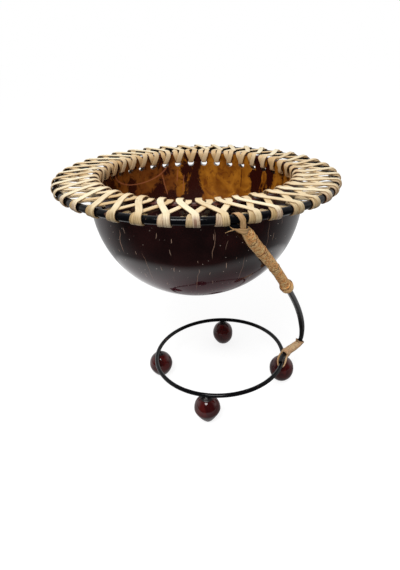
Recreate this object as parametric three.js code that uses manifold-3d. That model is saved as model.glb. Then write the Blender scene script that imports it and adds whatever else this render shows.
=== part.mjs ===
// Footed coconut bowl: half a coconut shell whose pierced rim is laced with rattan strip to a black
// iron hoop. A bent iron arm, bound with bark strip, carries the hoop over a base hoop that stands on
// four seed feet. Millimetres, +Z up, origin on the floor under the middle of the brim.
import * as THREE from 'three';
import { mergeVertices } from 'three/addons/utils/BufferGeometryUtils.js';
import Module from 'manifold-3d';

const wasm = await Module();
wasm.setup();

// Driving dimensions
const SHELL_RADIUS = 66;          // outside of the shell at its widest circle
const SHELL_DEPTH = 64.5;         // from the widest circle down to the bottom
const SHELL_RISE = 12.5;          // from the widest circle up to the cut rim
const SHELL_WALL = 4.2;
const SHELL_FULLNESS = 2.08;      // 2 is an ellipse, more gives fuller shoulders
const RIM_ROUND = 1;              // worn edge of the cut rim
const HOLE_COUNT = 40;
const HOLE_RADIUS = 2.4;
const HOLE_BELOW_RIM = 7.7;

const BRIM_RADIUS = 84;           // centre line of the brim hoop
const BRIM_BAR = 2.1;             // radius of the brim hoop's bar
const RIM_ABOVE_BRIM = 1.9;       // the cut rim stands this far above the hoop's centre line
const BRIM_HEIGHT = 158.5;        // hoop's centre line above the floor
const BRIM_LEAN = 2.7;            // degrees, the bowl leans towards its arm

const STRIP_WIDTH = 3.2;
const STRIP_THICK = 0.6;
const TOUCH = 0.3;                // gap between pieces that touch
const TURN_GAP = 0.35;            // gap between two turns lying side by side
const RIM_SWING = 2.1;            // degrees that a strip crosses the rim beyond the hole it goes into
const RIM_EASE = 0.35;            // a strip stands this much further off where it turns over the rim
const LENGTHS_PER_PASS = 2;       // each pass of lacing is made of this many lengths of strip

const BASE_OFFSET = 8.7;          // base hoop's centre from the brim's axis, towards the arm
const BASE_RADIUS = 47.5;
const BASE_BAR = 1.5;
const BASE_HEIGHT = 22.2;
const FOOT_INSET = 0.7;           // the seeds hang this far inside the hoop's centre line
const FOOT_HEIGHT = 17.8;
const FOOT_BELLY = 9;             // height of a seed's widest circle
const FOOT_FLAT = 2.6;            // radius of the worn flat that a seed stands on
const PIN_RADIUS = 1.2;
const PIN_DEPTH = 8;
// Seeds behind, left, in front and right: place on the hoop in degrees, radius, radius of the glue on
// top, and how round the lower half is, where 2 is a ball and less is an acorn
const FEET = [
  { angle: 85, radius: 8.4, glue: 3.6, roundness: 2 },
  { angle: 171.5, radius: 8.8, glue: 4, roundness: 1.7 },
  { angle: 257.6, radius: 9, glue: 6.2, roundness: 1.45 },
  { angle: 353.3, radius: 8.9, glue: 4, roundness: 2 },
];

const ARM_WIDTH = 3.6;
const ARM_THICK = 2.9;
const ARM_CORNER = 0.7;           // cut off each corner of the arm's section
const ARM_THINNING = [143, 166];  // the arm is drawn thinner over this stretch, to its tail
const ARM_TAIL = 0.7;             // tail's section as a share of the full one
// Arm's route from its tip under the brim hoop to its tail on the base hoop, measured from the base
// hoop's centre: along the hoop, straight past the bowl, bowed down, then sharply in to the base hoop.
const ARM_ROUTE = [
  [9.6, -82, 130.1], [14.4, -80.6, 129.6], [19.3, -72.7, 120.2], [25.1, -62.6, 109.5],
  [32.1, -50.6, 96.4], [38.7, -39.2, 82.9], [44.8, -28.8, 69.6], [52.1, -16.2, 52.8],
  [57.4, -7, 38.3], [60.6, -1.6, 26.5], [61.9, 0.4, 17], [61.4, 0.1, 10.5], [59.6, -1.1, 6.9],
  [56, -3.3, 5.5], [51.8, -5.9, 4.4], [46.9, -10.6, 3.4], [43.4, -19.4, 3.4],
];
// Where the bindings start and end, in millimetres along the arm from its tip
const ARM_BINDING = [9.9, 85.2];
const ARM_COLLAR = [85.7, 91.2];
const FOOT_BINDING = [164.6, 176.6];
const ARM_BINDING_RADIUS = 3.05;
const ARM_COLLAR_RADIUS = 4.2;
const FOOT_BINDING_RADIUS = 2.4;
const STRAP_ANGLE = -75.8;         // where the strap hangs the brim hoop on the arm's tip
const STRAP_DROP = 5.3;           // from the hoop's centre line down to the arm's
const STRAP_WIDTH = 3;
const STRAP_THICK = 0.6;
const STRAND_RADIUS = 0.65;

const DEG = Math.PI / 180;
const PITCH = 360 / HOLE_COUNT;
const HOLE_Z = RIM_ABOVE_BRIM - HOLE_BELOW_RIM;
const SHELL_CENTRE_Z = RIM_ABOVE_BRIM - SHELL_RISE;

// Finishes
const finish = (color, roughness, metalness) =>
  new THREE.MeshStandardMaterial({ color, roughness, metalness });
const finishes = {
  shell: finish(0x2a1512, 0.25, 0),
  iron: finish(0x0c0c0e, 0.3, 0.4),
  rattan: finish(0xd9bd88, 0.55, 0),
  rattanTop: finish(0xe6cf9f, 0.55, 0),
  bark: finish(0xb58a58, 0.8, 0),
  seed: finish(0x4a1a16, 0.15, 0),
  glue: finish(0x120c0c, 0.3, 0),
};

// Solids
const polar = (radius, degrees, z) =>
  new THREE.Vector3(radius * Math.cos(degrees * DEG), radius * Math.sin(degrees * DEG), z);

function meshVolume(points, faces) {
  const cross = new THREE.Vector3();
  return faces.reduce((sum, [a, b, c]) =>
    sum + points[a].dot(cross.crossVectors(points[b], points[c])) / 6, 0);
}

function closedGeometry(points, faces) {
  const inward = meshVolume(points, faces) < 0;
  const geometry = new THREE.BufferGeometry().setFromPoints(points);
  geometry.setIndex(faces.flatMap(([a, b, c]) => (inward ? [a, c, b] : [a, b, c])));
  geometry.computeVertexNormals();
  return geometry;
}

// Skin over a row of sections, all with the same number of points, capped at both ends
function loft(sections) {
  const sides = sections[0].length;
  const points = sections.flat();
  const faces = [];
  for (let i = 0; i + 1 < sections.length; i += 1) {
    for (let j = 0; j < sides; j += 1) {
      const a = i * sides + j;
      const b = i * sides + ((j + 1) % sides);
      faces.push([a, b, b + sides], [a, b + sides, a + sides]);
    }
  }
  const last = (sections.length - 1) * sides;
  for (let j = 1; j + 1 < sides; j += 1) {
    faces.push([0, j + 1, j], [last, last + j, last + j + 1]);
  }
  return closedGeometry(points, faces);
}

function toSolid(geometry) {
  const bare = new THREE.BufferGeometry();
  bare.setAttribute('position', geometry.getAttribute('position').clone());
  if (geometry.index) bare.setIndex(geometry.index.clone());
  const merged = mergeVertices(bare, 1e-4);
  return new wasm.Manifold(new wasm.Mesh({
    numProp: 3,
    vertProperties: new Float32Array(merged.getAttribute('position').array),
    triVerts: new Uint32Array(merged.index.array),
  }));
}

function toGeometry(solid) {
  const mesh = solid.getMesh();
  const geometry = new THREE.BufferGeometry();
  geometry.setAttribute('position', new THREE.BufferAttribute(new Float32Array(mesh.vertProperties), 3));
  geometry.setIndex(new THREE.BufferAttribute(new Uint32Array(mesh.triVerts), 1));
  geometry.computeVertexNormals();
  return geometry;
}

// Revolved solid about +Z from points of [radius, height]
function revolve(profile, segments, startDegrees = 0) {
  const outline = profile.map(([radius, z]) => new THREE.Vector2(radius, z));
  const geometry = new THREE.LatheGeometry(outline, segments, startDegrees * DEG, 2 * Math.PI);
  return geometry.rotateX(Math.PI / 2);
}

// Coconut shell
function shellRadiusAt(z, radius) {
  const height = z - SHELL_CENTRE_Z;
  const reach = height > 0 ? radius : radius - SHELL_RADIUS + SHELL_DEPTH;
  const share = Math.min(1, Math.abs(height) / reach);
  return radius * (1 - share ** SHELL_FULLNESS) ** (1 / SHELL_FULLNESS);
}
const outerRadius = (z) => shellRadiusAt(z, SHELL_RADIUS);
const innerRadius = (z) => shellRadiusAt(z, SHELL_RADIUS - SHELL_WALL);

// Half outline of the shell from the bottom up to topZ, as points of [radius, height]
function shellCurve(radius, topZ, steps) {
  const depth = radius - SHELL_RADIUS + SHELL_DEPTH;
  const bottom = -Math.PI / 2;
  const end = Math.asin((topZ - SHELL_CENTRE_Z) / depth);
  return Array.from({ length: steps + 1 }, (_, i) => {
    const z = SHELL_CENTRE_Z + depth * Math.sin(bottom + ((end - bottom) * i) / steps);
    return [i === 0 ? 0 : shellRadiusAt(z, radius), z];
  });
}

function coconutShell() {
  const belowHoles = HOLE_Z - HOLE_RADIUS - 1;
  const top = RIM_ABOVE_BRIM;
  const edge = top - RIM_ROUND;
  const inset = RIM_ROUND * 0.6;
  const outside = shellCurve(SHELL_RADIUS, belowHoles, 8);
  const inside = shellCurve(SHELL_RADIUS - SHELL_WALL, belowHoles, 6).reverse();
  const rim = [
    [outerRadius(edge), edge],
    [outerRadius(top) - inset, top],
    [innerRadius(top) + inset, top],
    [innerRadius(edge), edge],
  ];
  const segments = 2 * HOLE_COUNT;
  const drillSides = 8;
  let shell = toSolid(revolve([...outside, ...rim, ...inside], segments, PITCH / 4));
  for (let k = 0; k < HOLE_COUNT; k += 1) {
    const drill = new THREE.CylinderGeometry(HOLE_RADIUS, HOLE_RADIUS, 4 * SHELL_WALL, drillSides);
    drill.rotateY(Math.PI / drillSides);
    drill.rotateZ(Math.PI / 2);
    drill.translate(SHELL_RADIUS - SHELL_WALL / 2, 0, HOLE_Z);
    drill.rotateZ((k + 0.5) * PITCH * DEG);
    shell = shell.subtract(toSolid(drill));
  }
  return toGeometry(shell);
}

// Lacing: one strip goes out through a hole, under the brim, round the hoop, back over the top and the
// rim, down inside and out through the next hole. The first pass works one way round the bowl. The
// second goes back the other way over it, so their runs cross on top and their turns pair on the hoop.
const LAYER = STRIP_THICK + 0.35;
const TURN_RADIUS = BRIM_BAR + TOUCH + STRIP_THICK + 0.1;
const TURN_OFFSET = (STRIP_WIDTH + TURN_GAP) / 2 / BRIM_RADIUS / DEG;
const TURN_START = -110;          // round the hoop's bar, in degrees from its outside: from under it
const TURN_END = 90;              // to its top
const TURN_STEP = 40;

function lacingStations(second) {
  const lift = second ? LAYER : 0;
  const off = TOUCH + STRIP_THICK / 2 + lift;
  const holeZ = HOLE_Z + (second ? -LAYER / 2 : LAYER / 2);
  const top = RIM_ABOVE_BRIM;
  const inside = (z) => innerRadius(z) - off;
  const bend = 0.6;
  const clear = 1;
  const settling = 0.6;           // share of the swing that is left just inside the rim
  const hop = PITCH / 2;
  const stations = [
    { r: inside(holeZ) + bend, z: holeZ, turn: -hop },
    { r: outerRadius(holeZ) + clear, z: holeZ, turn: -hop },
  ];
  for (let around = TURN_START; around <= TURN_END; around += TURN_STEP) {
    const radius = TURN_RADIUS + (lift * (around - TURN_START)) / (TURN_END - TURN_START);
    stations.push({
      r: BRIM_RADIUS + radius * Math.cos(around * DEG),
      z: radius * Math.sin(around * DEG),
      turn: -TURN_OFFSET,
    });
  }
  stations.push(
    { r: outerRadius(top) + bend / 3, z: top + off + RIM_EASE, turn: hop + RIM_SWING },
    { r: innerRadius(top) + bend - lift, z: top + off + RIM_EASE, turn: hop + RIM_SWING },
    {
      r: inside(top - clear) - RIM_EASE,
      z: top + (lift - clear) * 0.4,
      turn: hop + RIM_SWING * settling,
    },
    { r: inside(holeZ), z: holeZ + bend, turn: hop },
  );
  return stations;
}

// A length of lacing as a list of centre line points. Both ends stop inside a hole.
function lacingPath(second, firstLoop, loops) {
  const way = second ? -1 : 1;
  const stations = lacingStations(second);
  const angleOf = (station, loop) => way * ((firstLoop + loop) * PITCH + station.turn);
  const [inner, outer] = stations;
  const middle = { ...inner, r: (inner.r + outer.r) / 2 };
  const backOff = 0.5;
  const path = [{ ...middle, r: middle.r + backOff, angle: angleOf(middle, 0) }];
  for (let loop = 0; loop < loops; loop += 1) {
    stations.forEach((station, i) => {
      if (loop > 0 || i > 0) path.push({ ...station, angle: angleOf(station, loop) });
    });
  }
  path.push({ ...middle, r: middle.r - backOff, angle: angleOf(middle, loops) });
  return path;
}

// Flat sections along the strip, each square to the mean of its two runs, with its face turned to lie
// on what the strip passes over
function stripSections(path) {
  const points = path.map(({ r, z, angle }) => polar(r, angle, z));
  const run = (i) => points[i + 1].clone().sub(points[i]).normalize();
  const sharpest = 0.75;
  return points.map((point, i) => {
    const arriving = run(Math.max(0, i - 1));
    const leaving = run(Math.min(points.length - 2, i));
    const along = arriving.clone().add(leaving).normalize();
    const radial = polar(1, path[i].angle, 0);
    const face = radial.clone().multiplyScalar(along.z);
    face.z -= along.dot(radial);
    const across = along.clone().cross(face).normalize();
    const out = across.clone().cross(along).normalize();
    const halfWidth = STRIP_WIDTH / 2;
    const halfThick = STRIP_THICK / 2 / Math.max(sharpest, arriving.dot(along));
    return [[-1, -1], [1, -1], [1, 1], [-1, 1]].map(([u, v]) =>
      point.clone().addScaledVector(across, u * halfWidth).addScaledVector(out, v * halfThick));
  });
}

// Points on a strip's four edges and down the middle of its faces, each with its distance along
function surfaceSamples(sections, fineness) {
  const samples = [];
  let start = 0;
  for (let i = 0; i + 1 < sections.length; i += 1) {
    const span = sections[i][0].distanceTo(sections[i + 1][0]);
    for (let f = 0; f < fineness; f += 1) {
      const run = start + (span * f) / fineness;
      const ring = sections[i].map((corner, j) => corner.clone().lerp(sections[i + 1][j], f / fineness));
      ring.forEach((at, j) => {
        samples.push({ run, at }, { run, at: at.clone().lerp(ring[(j + 1) % ring.length], 0.5) });
      });
    }
    start += span;
  }
  return samples;
}

// Least distance between two places on one strip that lie well apart along it
function leastSelfGap(sections) {
  const apart = 12;
  const reach = 8;
  const samples = surfaceSamples(sections, 4);
  const cells = new Map();
  const cellOf = ({ at }) => at.clone().divideScalar(reach).floor();
  samples.forEach((sample) => {
    const name = cellOf(sample).toArray().join();
    if (!cells.has(name)) cells.set(name, []);
    cells.get(name).push(sample);
  });
  const shifts = [-1, 0, 1];
  const neighbours = shifts.flatMap((x) => shifts.flatMap((y) =>
    shifts.map((z) => new THREE.Vector3(x, y, z))));
  let least = reach;
  samples.forEach((sample) => {
    neighbours.forEach((shift) => {
      const near = cells.get(cellOf(sample).add(shift).toArray().join()) ?? [];
      near.forEach((other) => {
        if (other.run - sample.run > apart) least = Math.min(least, sample.at.distanceTo(other.at));
      });
    });
  });
  return least;
}

function lacingLength(second, length) {
  const loops = HOLE_COUNT / LENGTHS_PER_PASS;
  const sections = stripSections(lacingPath(second, length * loops, loops));
  const name = `${second ? 'lacing_second_pass' : 'lacing_first_pass'}_${length + 1}`;
  console.log(`${name}: ${loops} turns, least gap to itself ${leastSelfGap(sections).toFixed(2)} mm`);
  return [name, loft(sections)];
}

// Arm, with frames along it that turn only as much as it bends
const ARM_FRAMES = 400;
const armPoints = ARM_ROUTE.map(([x, y, z]) => new THREE.Vector3(x + BASE_OFFSET, y, z + BASE_HEIGHT));
const armCurve = new THREE.CatmullRomCurve3(armPoints, false, 'centripetal');
armCurve.arcLengthDivisions = 2 * ARM_FRAMES;
const armLength = armCurve.getLength();
const armFrames = armCurve.computeFrenetFrames(ARM_FRAMES, false);

// Place on the arm at a distance from its tip, with directions sideways and away from the bowl
function armFrame(distance) {
  const step = Math.round((distance / armLength) * ARM_FRAMES);
  return {
    at: armCurve.getPointAt(step / ARM_FRAMES),
    side: armFrames.binormals[step],
    out: armFrames.normals[step],
  };
}

function alongArm(distance, sideways, height) {
  const { at, side, out } = armFrame(distance);
  return at.addScaledVector(side, sideways).addScaledVector(out, height);
}

// Iron bar of oblong section with its corners taken off
function armBar() {
  const steps = 45;
  const w = ARM_WIDTH / 2;
  const t = ARM_THICK / 2;
  const c = ARM_CORNER;
  const outline = [[w, -t + c], [w, t - c], [w - c, t], [-w + c, t],
    [-w, t - c], [-w, -t + c], [-w + c, -t], [w - c, -t]];
  return loft(Array.from({ length: steps + 1 }, (_, i) => {
    const distance = (armLength * i) / steps;
    const thinned = THREE.MathUtils.smoothstep(distance, ...ARM_THINNING);
    const size = THREE.MathUtils.lerp(1, ARM_TAIL, thinned);
    return outline.map(([a, b]) => alongArm(distance, a * size, b * size));
  }));
}

// Sleeve round a stretch of the arm, wound from one strip: each turn laps the last, so the outside
// climbs a step along a helix. The arm's size there is a share of the full one.
function woundSleeve([from, to], radius, lap, turns, steps, armSize = 1) {
  const sides = 10;
  const armReach = Math.hypot(ARM_WIDTH / 2, ARM_THICK / 2 - ARM_CORNER) * armSize;
  const bore = (armReach + TOUCH) / Math.cos(Math.PI / sides);
  const winding = (distance, turn) => {
    const progress = ((distance - from) / (to - from)) * turns - turn;
    return radius + lap * (progress - Math.floor(progress) - 0.5);
  };
  const ring = (distance, radiusAt) => Array.from({ length: sides }, (_, j) => {
    const turn = j / sides;
    const angle = turn * 2 * Math.PI;
    const reach = radiusAt(distance, turn);
    return alongArm(distance, reach * Math.cos(angle), reach * Math.sin(angle));
  });
  const distances = Array.from({ length: steps + 1 }, (_, i) => from + ((to - from) * i) / steps);
  const outside = distances.map((distance) => ring(distance, winding));
  const inside = distances.map((distance) => ring(distance, () => bore));
  // Rings out along the winding, back through the bore and round to the first again
  const rings = [...outside, ...inside.reverse()];
  const faces = [];
  rings.forEach((_, i) => {
    const next = (i + 1) % rings.length;
    for (let j = 0; j < sides; j += 1) {
      const k = (j + 1) % sides;
      const [a, b, c, d] = [i * sides + j, i * sides + k, next * sides + k, next * sides + j];
      faces.push([a, b, c], [a, c, d]);
    }
  });
  return closedGeometry(rings.flat(), faces);
}

// Strap round the brim hoop and the arm's tip under it
function brimStrap() {
  const bends = 6;
  const reach = (BRIM_BAR + TOUCH) / Math.cos(Math.PI / 2 / bends);
  const racetrack = (path, radius) => {
    path.moveTo(radius, 0);
    path.absarc(0, 0, radius, 0, Math.PI, false);
    path.absarc(0, -STRAP_DROP, radius, Math.PI, 2 * Math.PI, false);
    path.lineTo(radius, 0);
    return path;
  };
  const outline = racetrack(new THREE.Shape(), reach + STRAP_THICK);
  outline.holes.push(racetrack(new THREE.Path(), reach));
  const settings = { depth: STRAP_WIDTH, bevelEnabled: false, curveSegments: bends };
  return new THREE.ExtrudeGeometry(outline, settings).translate(0, 0, -STRAP_WIDTH / 2);
}

// Strand from the foot binding along one side of the arm's tail, under the base hoop and back along
// the other side. Its route is given as distance along the arm, sideways, and up from its middle.
function footStrap() {
  const route = [
    [178.6, -2.6, 0], [181.6, -2.6, -0.7], [184.8, -2.6, -2.7], [186.6, -1.9, -5.1],
    [187.2, 0, -6.1], [186.6, 1.9, -5.1], [184.8, 2.6, -2.7], [181.6, 2.6, -0.7], [178.6, 2.6, 0],
  ].map((place) => alongArm(...place));
  const section = new THREE.Shape();
  section.absarc(0, 0, STRAND_RADIUS, 0, 2 * Math.PI, false);
  const path = new THREE.CatmullRomCurve3(route, false, 'centripetal');
  return new THREE.ExtrudeGeometry(section, { extrudePath: path, steps: 26, curveSegments: 3 });
}

// Seed foot with a worn flat below, a flat under the glue above and a drilled hole for its pin
function seedFoot({ radius, glue, roundness }) {
  const steps = 4;
  const power = 2 / roundness;
  const lowest = Math.acos((FOOT_FLAT / radius) ** (1 / power));
  const highest = Math.acos(glue / radius);
  const profile = [[0, 0]];
  for (let i = 0; i < steps; i += 1) {
    const angle = lowest * (1 - i / steps);
    const drop = (Math.sin(angle) / Math.sin(lowest)) ** power;
    profile.push([radius * Math.cos(angle) ** power, FOOT_BELLY * (1 - drop)]);
  }
  for (let i = 0; i <= steps; i += 1) {
    const angle = (highest * i) / steps;
    const rise = (FOOT_HEIGHT - FOOT_BELLY) * (Math.sin(angle) / Math.sin(highest));
    profile.push([radius * Math.cos(angle), FOOT_BELLY + rise]);
  }
  const bore = PIN_RADIUS + TOUCH;
  const boreEnd = FOOT_HEIGHT - PIN_DEPTH - TOUCH;
  profile.push([bore, FOOT_HEIGHT], [bore, boreEnd], [0, boreEnd]);
  return revolve(profile, 16);
}

// Iron pin under the base hoop with its collar of black glue
function footPin({ glue }) {
  const pinEnd = FOOT_HEIGHT - PIN_DEPTH;
  const collarLow = FOOT_HEIGHT + TOUCH;
  const collarHigh = BASE_HEIGHT - BASE_BAR - TOUCH;
  return revolve([
    [0, pinEnd], [PIN_RADIUS, pinEnd], [PIN_RADIUS, collarLow],
    [glue * 0.94, collarLow], [glue, collarHigh], [0, collarHigh],
  ], 14);
}

// Assembly
const bowl = new THREE.Group();
const add = (parent, name, geometry, material) => {
  const mesh = new THREE.Mesh(geometry, material);
  mesh.name = name;
  parent.add(mesh);
  return mesh;
};

const brim = new THREE.Group();
brim.position.set(0, 0, BRIM_HEIGHT);
brim.rotation.y = BRIM_LEAN * DEG;
bowl.add(brim);
add(brim, 'coconut_shell', coconutShell(), finishes.shell);
add(brim, 'brim_hoop', new THREE.TorusGeometry(BRIM_RADIUS, BRIM_BAR, 8, 72), finishes.iron);
for (let length = 0; length < LENGTHS_PER_PASS; length += 1) {
  add(brim, ...lacingLength(false, length), finishes.rattan);
  add(brim, ...lacingLength(true, length), finishes.rattanTop);
}
const strap = add(brim, 'brim_strap', brimStrap(), finishes.bark);
strap.position.copy(polar(BRIM_RADIUS, STRAP_ANGLE, 0));
strap.rotation.set(Math.PI / 2, STRAP_ANGLE * DEG, 0);

const armBinding = woundSleeve(ARM_BINDING, ARM_BINDING_RADIUS, 0.4, 5, 28);
const armCollar = woundSleeve(ARM_COLLAR, ARM_COLLAR_RADIUS, 0.4, 1, 3);
const footBinding = woundSleeve(FOOT_BINDING, FOOT_BINDING_RADIUS, 0.25, 2, 7, ARM_TAIL);
add(bowl, 'arm', armBar(), finishes.iron);
add(bowl, 'arm_binding', armBinding, finishes.bark);
add(bowl, 'arm_binding_collar', armCollar, finishes.bark);
add(bowl, 'foot_binding', footBinding, finishes.bark);
add(bowl, 'foot_strap', footStrap(), finishes.bark);

const base = new THREE.Group();
base.position.set(BASE_OFFSET, 0, 0);
bowl.add(base);
const hoop = add(base, 'base_hoop', new THREE.TorusGeometry(BASE_RADIUS, BASE_BAR, 8, 54), finishes.iron);
hoop.position.z = BASE_HEIGHT;
FEET.forEach((foot, i) => {
  const place = polar(BASE_RADIUS - FOOT_INSET, foot.angle, 0);
  add(base, `seed_foot_${i + 1}`, seedFoot(foot), finishes.seed).position.copy(place);
  add(base, `foot_pin_${i + 1}`, footPin(foot), finishes.glue).position.copy(place);
});

export default bowl;
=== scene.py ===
# %% [markdown]
# # A footed coconut bowl
# Half a coconut shell is laced with rattan strip to an iron hoop. One bent iron arm carries it over a
# base hoop, which stands on four seeds. The packed model fixes every size and place, so each piece
# here is made in its frame, in metres, and only adds the detail and the finish.

# %% The packed model
import math
import random

import bpy
from mathutils import Euler, Matrix, Vector, noise


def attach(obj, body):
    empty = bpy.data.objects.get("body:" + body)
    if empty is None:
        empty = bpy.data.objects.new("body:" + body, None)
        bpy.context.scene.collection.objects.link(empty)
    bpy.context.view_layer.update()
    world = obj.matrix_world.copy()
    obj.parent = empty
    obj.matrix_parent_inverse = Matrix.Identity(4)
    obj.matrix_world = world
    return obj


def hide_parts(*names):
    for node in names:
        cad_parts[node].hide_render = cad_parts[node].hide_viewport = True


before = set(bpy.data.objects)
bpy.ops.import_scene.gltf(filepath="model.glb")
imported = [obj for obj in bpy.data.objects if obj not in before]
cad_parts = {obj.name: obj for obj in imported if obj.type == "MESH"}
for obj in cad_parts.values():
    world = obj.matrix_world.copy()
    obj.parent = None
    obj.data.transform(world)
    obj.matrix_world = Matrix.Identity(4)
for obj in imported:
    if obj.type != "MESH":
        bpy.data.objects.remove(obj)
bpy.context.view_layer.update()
MM = 0.001

# %% [markdown]
# ## The camera
# The view could be set by eye. Here it was fitted to the hoops and the bowl's outline instead, which
# gives the place, the three turns and the lens in numbers. A lens length is only a ratio: the focal
# length in pixels over the picture's long side, times the width of the sensor.

# %% Camera
PICTURE = (400, 570)
EYE = Vector((8.86, -279.68, 227.78)) * MM
LOOK_DOWN, TURN, ROLL = 0.480, -0.046, -0.073
FOCAL_PIXELS = 449.7
AXIS_PIXEL = (197.5, 284.5)
SENSOR_WIDTH = 36

flat = math.cos(LOOK_DOWN)
ahead = Vector((math.sin(TURN) * flat, math.cos(TURN) * flat, -math.sin(LOOK_DOWN)))
level = Vector((math.cos(TURN), -math.sin(TURN), 0))
upright = level.cross(ahead)
right = level * math.cos(ROLL) + upright * math.sin(ROLL)
up = upright * math.cos(ROLL) - level * math.sin(ROLL)


def add_object(name, data):
    """New object in the scene, at the origin."""
    made = bpy.data.objects.new(name, data)
    bpy.context.scene.collection.objects.link(made)
    return made


camera_data = bpy.data.cameras.new("photo_camera")
camera_data.sensor_width = SENSOR_WIDTH
camera_data.lens = SENSOR_WIDTH * FOCAL_PIXELS / PICTURE[1]
camera_data.shift_x = (PICTURE[0] / 2 - AXIS_PIXEL[0]) / PICTURE[1]
camera_data.shift_y = (AXIS_PIXEL[1] - PICTURE[1] / 2) / PICTURE[1]
camera_data.clip_start = 0.01
camera = add_object("photo_camera", camera_data)
camera.matrix_world = Matrix.Translation(EYE) @ Matrix((right, up, -ahead)).transposed().to_4x4()
bpy.context.scene.camera = camera
print("lens:", round(camera_data.lens, 2), "mm")

# %% [markdown]
# ## Nodes written as sums
# Shaders and Geometry Nodes are both wired graphs. Wiring them one link at a time is hard to read, so
# a small class holds one output socket and lets ordinary operators add the maths nodes: with it,
# 1 - mask is a node too. Every other node comes from the one method, node.

# %% A socket that can be used in sums
class Wire:
    """One output socket of a node, which can be used in sums."""

    tree = None

    def __init__(self, socket):
        self.socket = socket

    @classmethod
    def node(cls, kind, settings=None, inputs=None, output=0):
        """New node: its settings first, then the values or links of its inputs."""
        made = cls.tree.nodes.new(kind)
        for name, value in (settings or {}).items():
            setattr(made, name, value)
        for name, value in (inputs or {}).items():
            if isinstance(value, Wire):
                cls.tree.links.new(value.socket, made.inputs[name])
            else:
                made.inputs[name].default_value = value
        return cls(made.outputs[output]) if made.outputs else made

    def maths(self, operation, other=0.0):
        return Wire.node("ShaderNodeMath", {"operation": operation}, {0: self, 1: other})

    def __add__(self, other):
        return self.maths("ADD", other)

    def __mul__(self, other):
        return self.maths("MULTIPLY", other)

    def __sub__(self, other):
        return self.maths("SUBTRACT", other)

    def __truediv__(self, other):
        return self.maths("DIVIDE", other)

    def __pow__(self, other):
        return self.maths("POWER", other)

    def __rsub__(self, other):
        return Wire.node("ShaderNodeMath", {"operation": "SUBTRACT"}, {0: other, 1: self})

    __radd__ = __add__
    __rmul__ = __mul__


print("made:", Wire.__name__, "-", Wire.__doc__)


# %% Small words for colours and patterns
def srgb(red, green, blue):
    """Colour given as a screen shows it, 0 to 255, turned into the linear one that shaders use."""
    parts = [value / 255 for value in (red, green, blue)]
    return [part / 12.92 if part <= 0.04045 else ((part + 0.055) / 1.055) ** 2.4 for part in parts] + [1]


def rise(value, low, high):
    """0 below low, 1 above high, smooth between."""
    settings = {"interpolation_type": "SMOOTHSTEP"}
    return Wire.node("ShaderNodeMapRange", settings, {0: value, 1: low, 2: high, 3: 0, 4: 1})


def blend(share, first, second):
    """Colour between two, by a share from 0 to 1."""
    return Wire.node("ShaderNodeMix", {"data_type": "RGBA"}, {0: share, 6: first, 7: second}, output=2)


def split(vector):
    """The three numbers of a vector."""
    return [Wire.node("ShaderNodeSeparateXYZ", inputs={0: vector}, output=i) for i in range(3)]


def join(x, y, z):
    """Vector of three numbers."""
    return Wire.node("ShaderNodeCombineXYZ", inputs={0: x, 1: y, 2: z})


def mottle(vector, scale, detail=2.0, distortion=0.0):
    """Soft random value about 0.5."""
    inputs = {"Vector": vector, "Scale": scale, "Detail": detail, "Distortion": distortion}
    return Wire.node("ShaderNodeTexNoise", inputs=inputs)


def carried(name):
    """Value that the mesh carries at each of its points."""
    return Wire.node("ShaderNodeAttribute", {"attribute_name": name}, output=2)


print("mid grey on a screen is", round(srgb(128, 128, 128)[0], 3), "to a shader")


# %% Small words for finishes
def place_in_mm(offset=(0, 0, 0), lean=0.0):
    """Object coordinates in millimetres, in a frame that is moved and leans about Y."""
    point = Wire.node("ShaderNodeTexCoord", output=3)
    inputs = {"Vector": point, "Location": offset, "Rotation": (0, lean, 0), "Scale": (MM, MM, MM)}
    return Wire.node("ShaderNodeMapping", {"vector_type": "TEXTURE"}, inputs)


def relief(height, depth_mm, strength=1.0):
    """Bump whose full height is depth_mm."""
    inputs = {"Height": height, "Distance": depth_mm * MM, "Strength": strength}
    return Wire.node("ShaderNodeBump", inputs=inputs)


def new_finish(name):
    """Empty material, ready for its nodes."""
    material = bpy.data.materials.new(name)
    material.use_nodes = True
    Wire.tree = material.node_tree
    Wire.tree.nodes.clear()
    return material


def surface(**sockets):
    """Close the material with its one shader. Socket names are given with _ for a space."""
    inputs = {name.replace("_", " "): value for name, value in sockets.items()}
    shader = Wire.node("ShaderNodeBsdfPrincipled", inputs=inputs)
    Wire.node("ShaderNodeOutputMaterial", inputs={"Surface": shader})


print("one coordinate unit of a finish is", MM, "m")

# %% [markdown]
# ## Floor, light and background
# A glossy dark bowl shows the studio more than its own colour. Lamps alone would leave it black, so
# the world is a white sweep that is dark on the camera's side and dimmer overhead. It fills the scene
# softly from all round, and only the camera and mirror-like rays see its white. The floor keeps a
# light shadow. What the bowl's underside mirrors is a pool of light with the bowl's own shade in its
# middle, which ends in front, and a dimmer floor beyond.

# %% World
# Floor's matt share, strength of the fill, and what mirrors see in front and overhead. An edge says
# from where to where that changes, as the sine of a direction.
SHADOW_SHARE, FILL = 0.3, 0.62
CAMERA_SIDE, SWEEP_EDGE = 0.06, (-0.45, 0.15)
CEILING, CEILING_EDGE = 0.42, (0.3, 0.7)


def is_seen(*kinds):
    """1 for rays of these kinds, else 0."""
    total, *others = [Wire.node("ShaderNodeLightPath", output=kind) for kind in kinds]
    for other in others:
        total = total.maths("MAXIMUM", other)
    return total


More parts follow.
